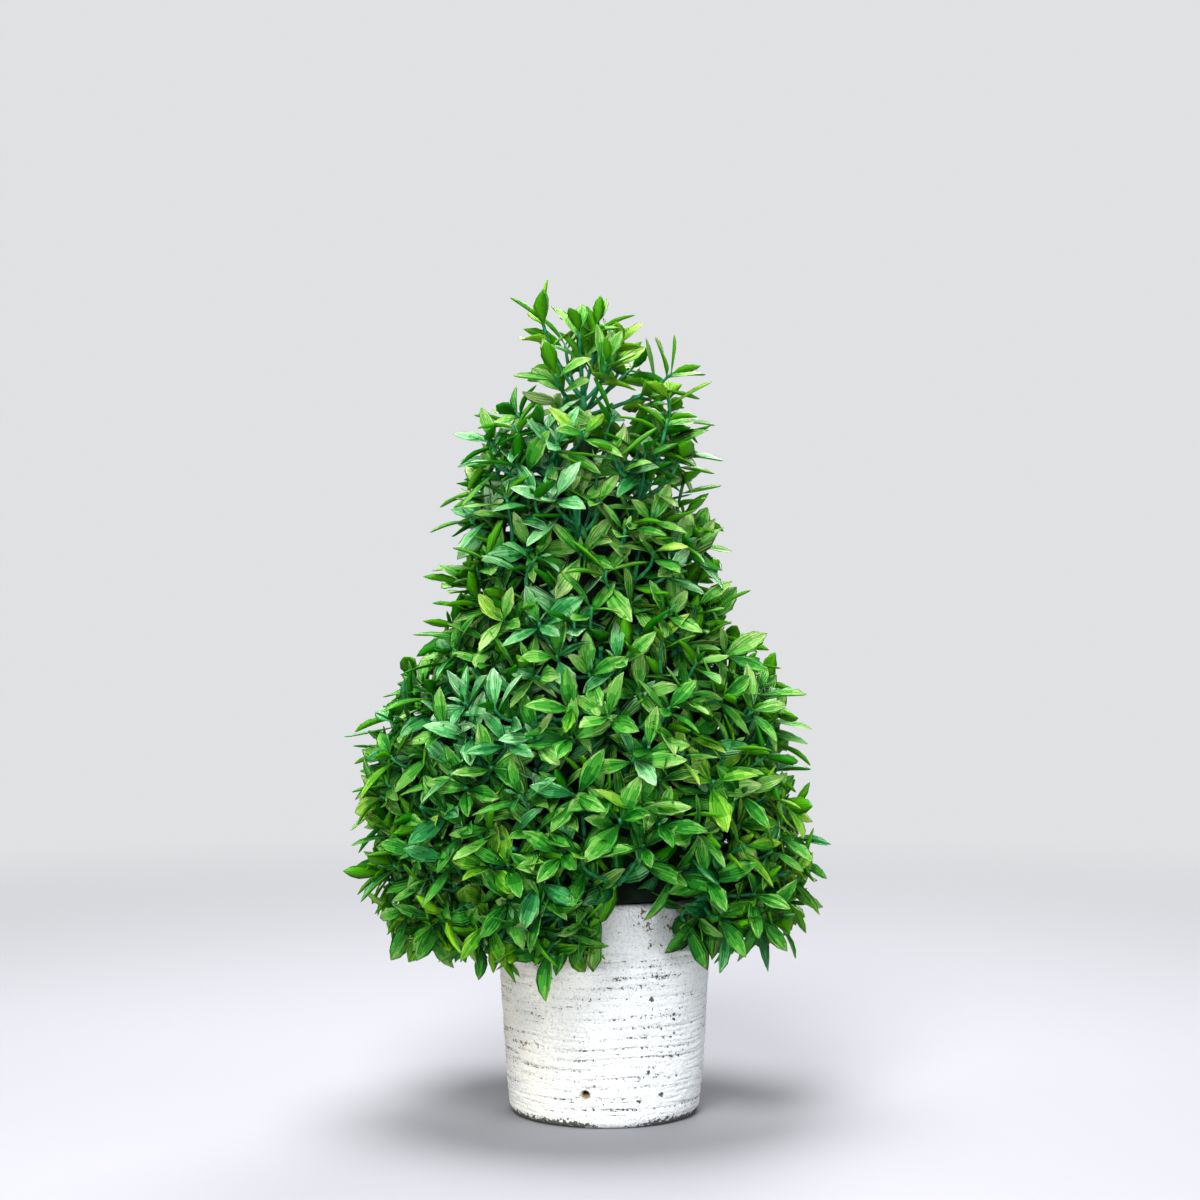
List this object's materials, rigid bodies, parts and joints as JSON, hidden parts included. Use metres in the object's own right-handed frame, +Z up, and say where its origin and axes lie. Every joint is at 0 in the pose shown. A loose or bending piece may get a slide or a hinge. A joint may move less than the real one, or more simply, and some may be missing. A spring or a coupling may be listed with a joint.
{
  "type": "artificial potted savory cone topiary",
  "caption": "Artificial cone topiary of small lance-shaped leaves in a whitewashed, finely ringed round pot. The crown spills over the rim and ends in an open tuft.",
  "frame": {"origin": "centre of the pot's flat underside", "axes": "+Z up, along the pot's axis; -Y towards the front"},
  "size_m": [0.19, 0.191, 0.3287],
  "materials": {
    "pot_whitewash": "chalky whitewash with dark dashes worn into the turned grooves",
    "packing": "dull dark packing that holds the stem",
    "stalk": "satin dark green moulded stalk",
    "leaf_green": "moulded leaf, satin, blue-green over a yellow-green base"
  },
  "bodies": {
    "root": {"pot": "pot_whitewash", "pot_filling": "packing", "stem": "stalk", "foliage_lower_front": "leaf_green", "foliage_lower_right": "leaf_green", "foliage_lower_back": "leaf_green", "foliage_lower_left": "leaf_green", "foliage_middle_front": "leaf_green", "foliage_middle_back_right": "leaf_green", "foliage_middle_back_left": "leaf_green", "foliage_upper_front": "leaf_green", "foliage_upper_back_right": "leaf_green", "foliage_upper_back_left": "leaf_green", "foliage_top": "leaf_green"}
  },
  "joints": []
}
